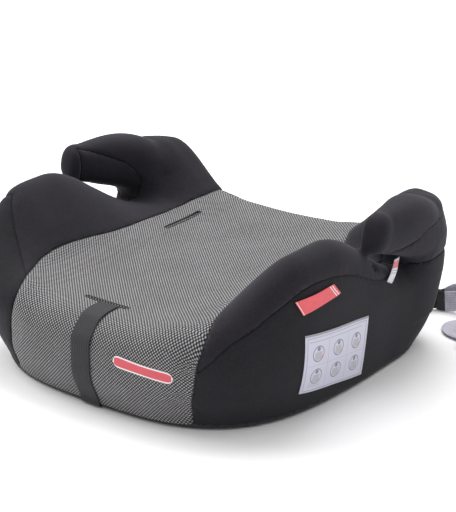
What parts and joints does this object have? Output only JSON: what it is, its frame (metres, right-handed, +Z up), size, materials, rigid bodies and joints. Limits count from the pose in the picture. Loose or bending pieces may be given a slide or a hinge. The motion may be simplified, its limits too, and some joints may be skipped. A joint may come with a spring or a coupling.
{
  "type": "booster seat",
  "caption": "Backless child booster seat: moulded shell under a padded cover with raised side bolsters, two hooked armrests over belt slots, and a rear positioning strap with a belt clip.",
  "frame": {"origin": "on the floor under the middle of the seat's outline, midway between the armrests and midway between the front and rear faces", "axes": "+X to the side where the belt strap lies (the right side seen from in front), across both armrests; -Y is the front edge, where the child's legs hang; +Z up"},
  "size_m": [0.4869, 0.4619, 0.1879],
  "materials": {
    "seat_mesh_fabric": "open grey spacer mesh over a dark backing",
    "top_knit_fabric": "matte charcoal knit",
    "side_knit_fabric": "matte dark charcoal knit",
    "shell_plastic": "moulded, fine grain",
    "foam": "open-cell foam",
    "steel": "zinc plated",
    "foot_rubber": "matte",
    "edge_binding": "matte black tape with overlock stitching",
    "dark_webbing": "ribbed webbing",
    "pale_webbing": "ribbed webbing, pale lavender grey",
    "red_tag_fabric": "woven red tag with white lines",
    "label_film": "satin printed label",
    "clip_plastic": "satin",
    "keeper_plastic": "satin"
  },
  "bodies": {
    "seat": {"cover_seat_panel": "seat_mesh_fabric", "cover_rear_panel": "side_knit_fabric", "cover_side_right": "side_knit_fabric", "cover_side_left": "side_knit_fabric", "cover_bolster_right": "top_knit_fabric", "cover_bolster_left": "top_knit_fabric", "cover_armrest_under_right": "side_knit_fabric", "cover_armrest_top_right": "top_knit_fabric", "cover_armrest_under_left": "side_knit_fabric", "cover_armrest_top_left": "top_knit_fabric", "base_shell": "shell_plastic", "seat_foam": "foam", "armrest_core_right": "shell_plastic", "armrest_core_left": "shell_plastic", "armrest_screw_right_1": "steel", "armrest_screw_right_2": "steel", "armrest_screw_left_1": "steel", "armrest_screw_left_2": "steel", "foot_front_right": "foot_rubber", "foot_rear_right": "foot_rubber", "foot_front_left": "foot_rubber", "foot_rear_left": "foot_rubber", "hem_binding": "edge_binding", "front_strap_upper_bar": "steel", "front_strap_lower_bar": "steel", "front_strap": "dark_webbing", "slit_edging_right": "edge_binding", "slit_edging_left": "edge_binding", "instruction_label": "label_film", "side_tag": "red_tag_fabric", "front_badge": "red_tag_fabric", "care_tag": "label_film", "rear_anchor_pin": "steel", "rear_anchor_strap": "dark_webbing", "positioning_strap": "pale_webbing", "positioning_strap_return": "pale_webbing", "strap_keeper": "keeper_plastic", "belt_clip_body": "clip_plastic", "belt_clip_pin": "steel"},
    "clip_gate": {"belt_clip_gate": "clip_plastic"}
  },
  "joints": [
    {"name": "clip_gate_hinge", "type": "hinge", "parent": "seat", "child": "clip_gate", "pos_m": [0.26, 0.169, 0.003], "axis": [0, 0, -1], "range_deg": [0, 60]}
  ]
}
